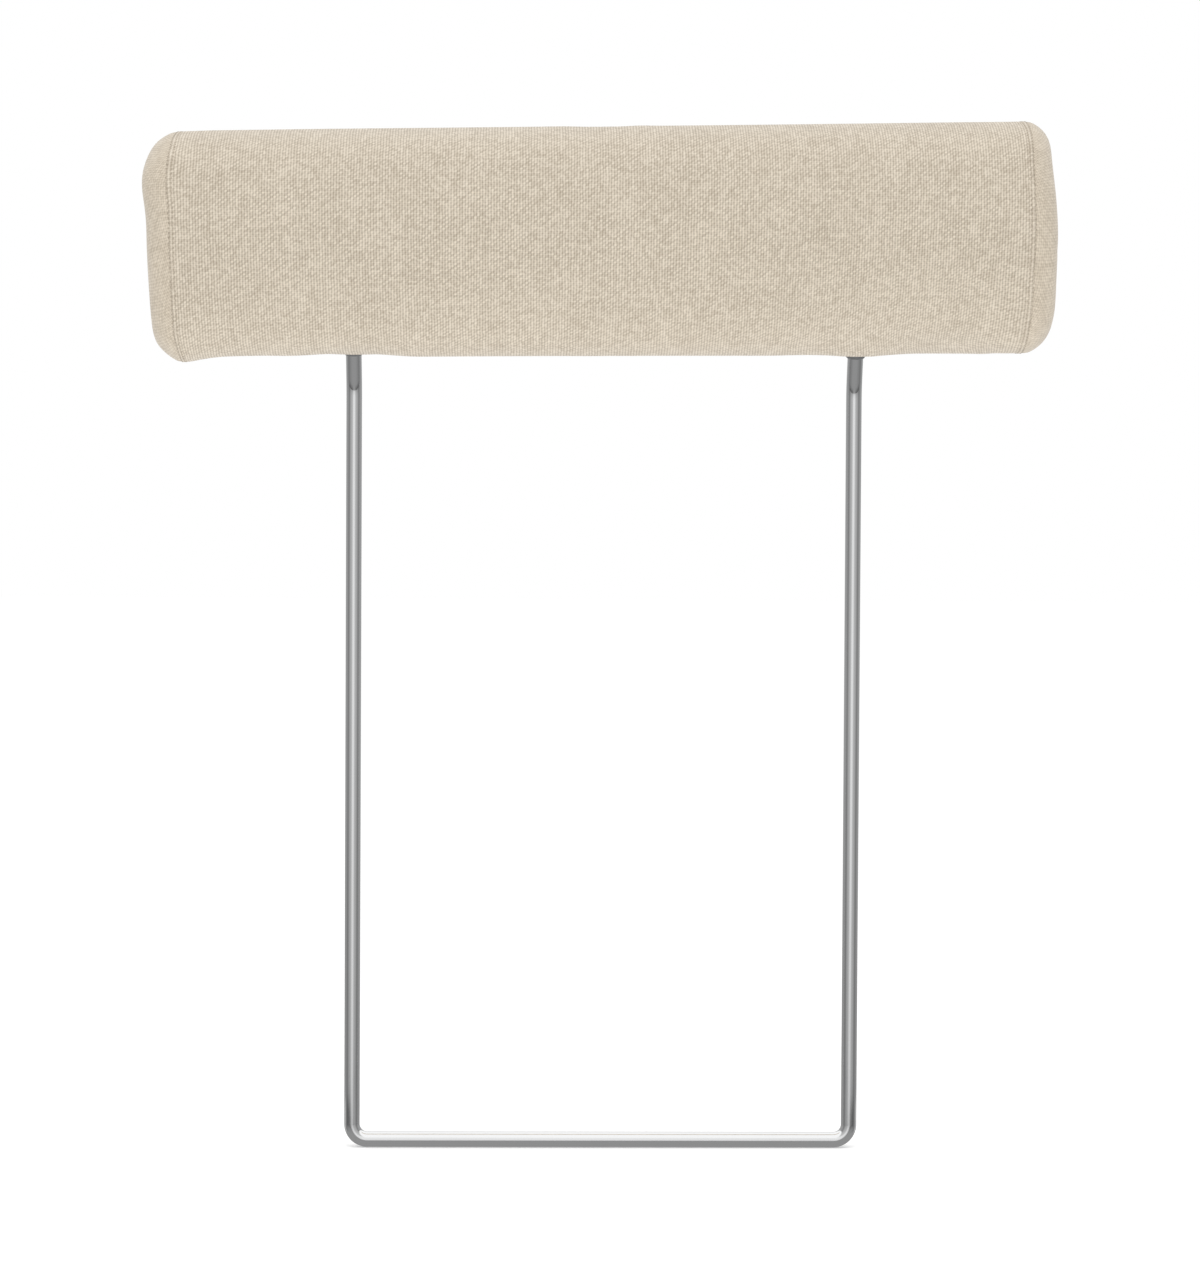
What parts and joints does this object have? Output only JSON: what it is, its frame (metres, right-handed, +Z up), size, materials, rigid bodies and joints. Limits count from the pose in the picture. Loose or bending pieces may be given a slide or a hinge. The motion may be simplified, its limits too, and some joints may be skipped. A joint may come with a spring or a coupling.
{
  "type": "sofa headrest",
  "caption": "Long fabric cushion with domed ends on a U-shaped chromed rod frame that slides down behind a sofa's back cushions.",
  "frame": {"origin": "middle of the bottom rail's lowest facet, with the frame upright as in the picture", "axes": "+X along the cushion, to the right seen from the front; -Y the way the cushion's front faces; +Z up along the legs"},
  "size_m": [0.692, 0.1366, 0.7834],
  "materials": {
    "chromed_steel": "polished",
    "woven_fabric": "coarse plain weave",
    "socket_plastic": "moulded",
    "plywood": "unfinished",
    "zinc_plated_steel": "plated",
    "foam": "open cell foam",
    "fibre_wadding": "fluffy",
    "zip_tape": "woven tape",
    "zip_coil": "smooth",
    "zip_slider_metal": "plated"
  },
  "bodies": {
    "headrest": {"support_frame": "chromed_steel", "cover_sleeve": "woven_fabric", "cover_end_left": "woven_fabric", "cover_end_right": "woven_fabric", "rod_socket_left": "socket_plastic", "rod_socket_right": "socket_plastic", "core_board": "plywood", "socket_screw_left_1": "zinc_plated_steel", "socket_screw_left_2": "zinc_plated_steel", "socket_screw_left_3": "zinc_plated_steel", "socket_screw_left_4": "zinc_plated_steel", "socket_screw_right_1": "zinc_plated_steel", "socket_screw_right_2": "zinc_plated_steel", "socket_screw_right_3": "zinc_plated_steel", "socket_screw_right_4": "zinc_plated_steel", "foam_front": "foam", "foam_back": "foam", "wadding_wrap": "fibre_wadding", "fibre_pad_left": "fibre_wadding", "fibre_pad_right": "fibre_wadding", "zip_tape_front": "zip_tape", "zip_tape_rear": "zip_tape", "zip_coil_front": "zip_coil", "zip_coil_rear": "zip_coil", "zip_stop_closed": "zip_coil", "zip_stop_open": "zip_coil"},
    "slider": {"zip_slider": "zip_slider_metal"}
  },
  "joints": [
    {"name": "zip_slide", "type": "slide", "parent": "headrest", "child": "slider", "axis": [1, 0, 0], "range_m": [0, 0.542]}
  ]
}
